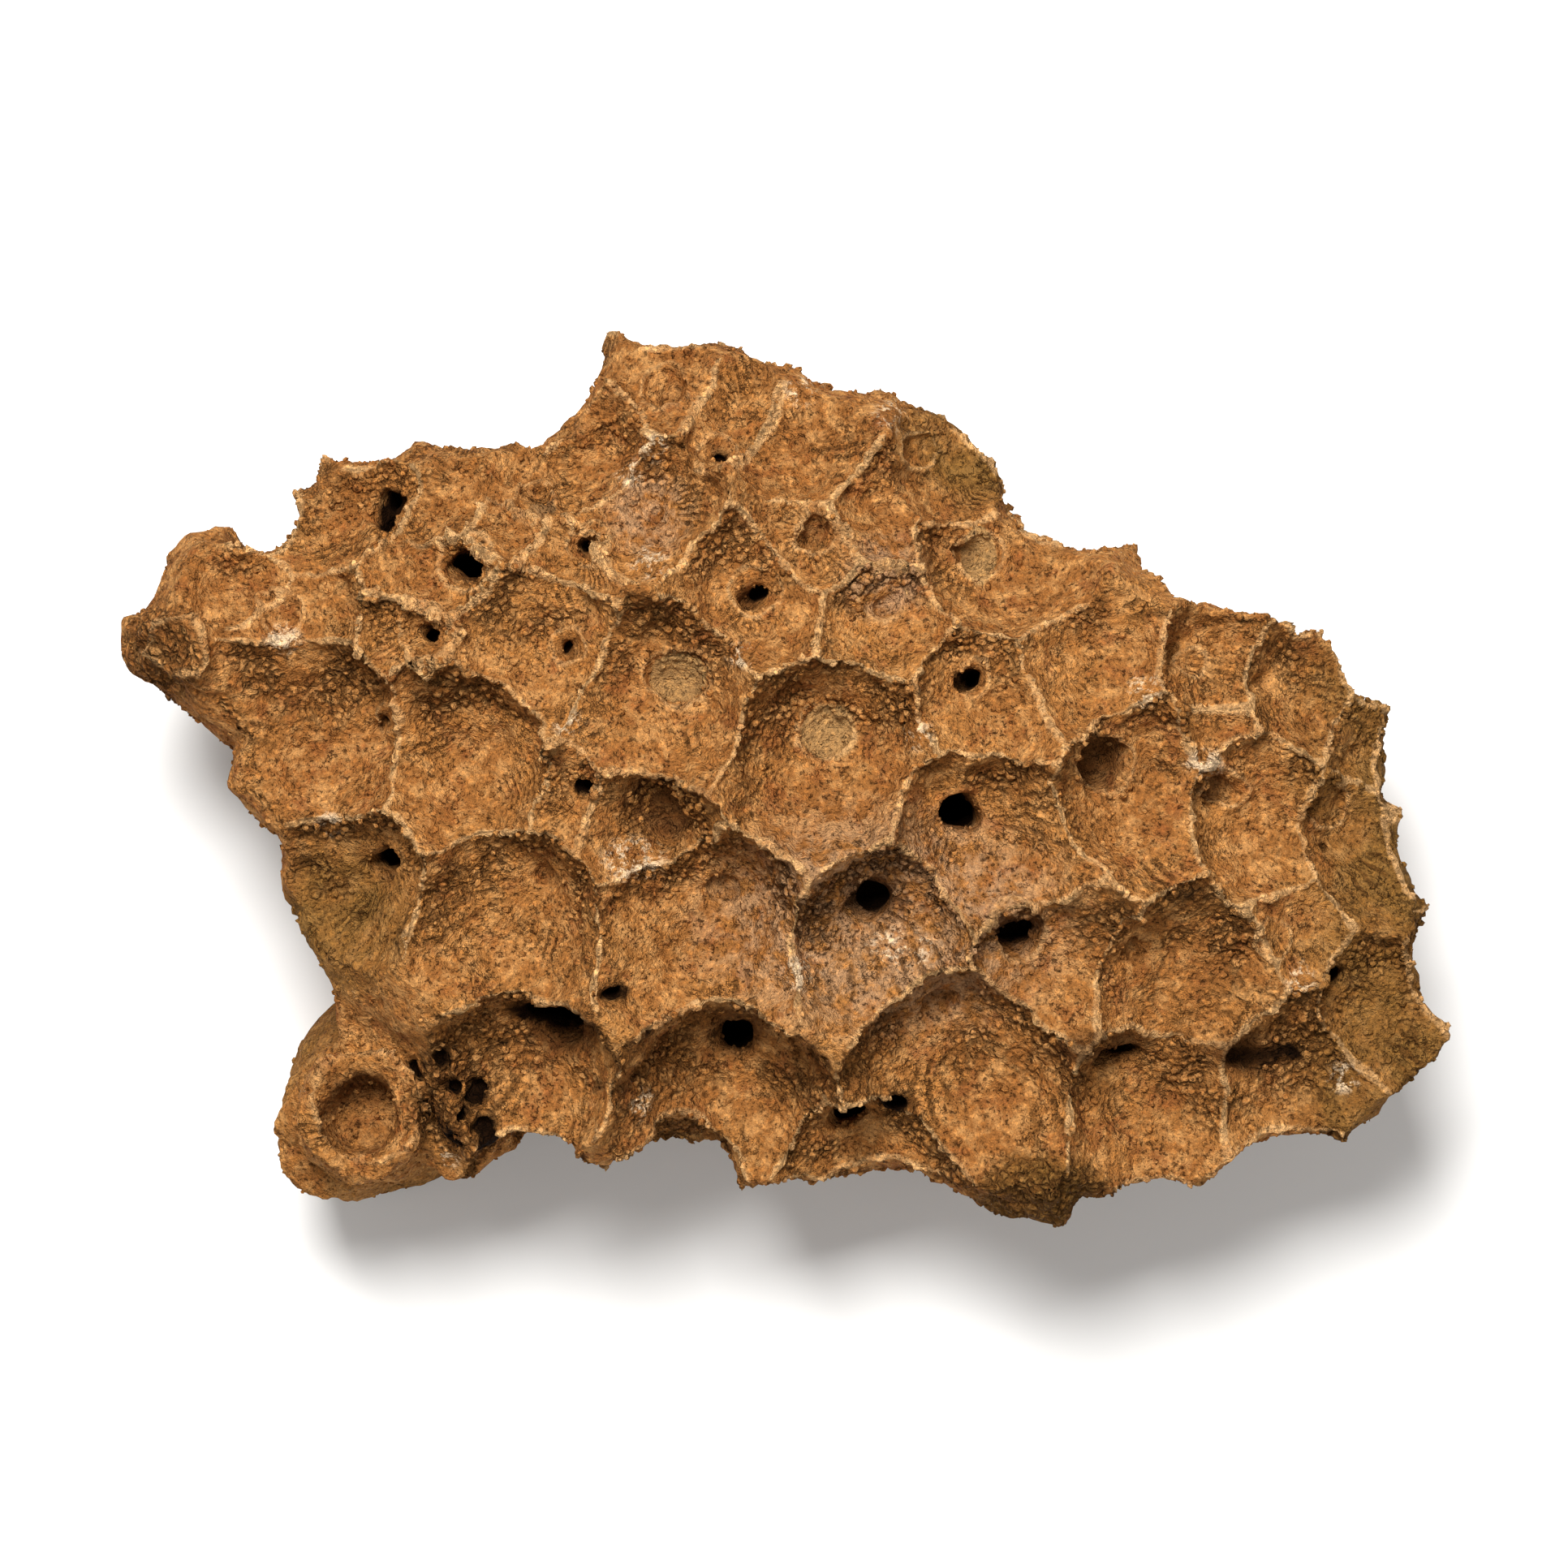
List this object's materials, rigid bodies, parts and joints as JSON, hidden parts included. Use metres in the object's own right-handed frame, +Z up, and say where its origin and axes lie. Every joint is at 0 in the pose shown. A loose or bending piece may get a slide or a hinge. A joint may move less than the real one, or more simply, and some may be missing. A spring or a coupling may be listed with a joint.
{
  "type": "fossil rugose coral colony",
  "caption": "Mound-shaped fossil coral colony with sharp-ridged polygonal calices, pits in their floors and a stalk at one corner, cut off flat below.",
  "frame": {"origin": "middle of the flat base, centred on the colony's box", "axes": "+Z up through the calices, +X along the colony's length to the picture's right, +Y to the picture's top"},
  "size_m": [0.121, 0.0814, 0.0556],
  "materials": {
    "ochre_limestone": null
  },
  "bodies": {
    "root": {"coral_colony": "ochre_limestone"}
  },
  "joints": []
}
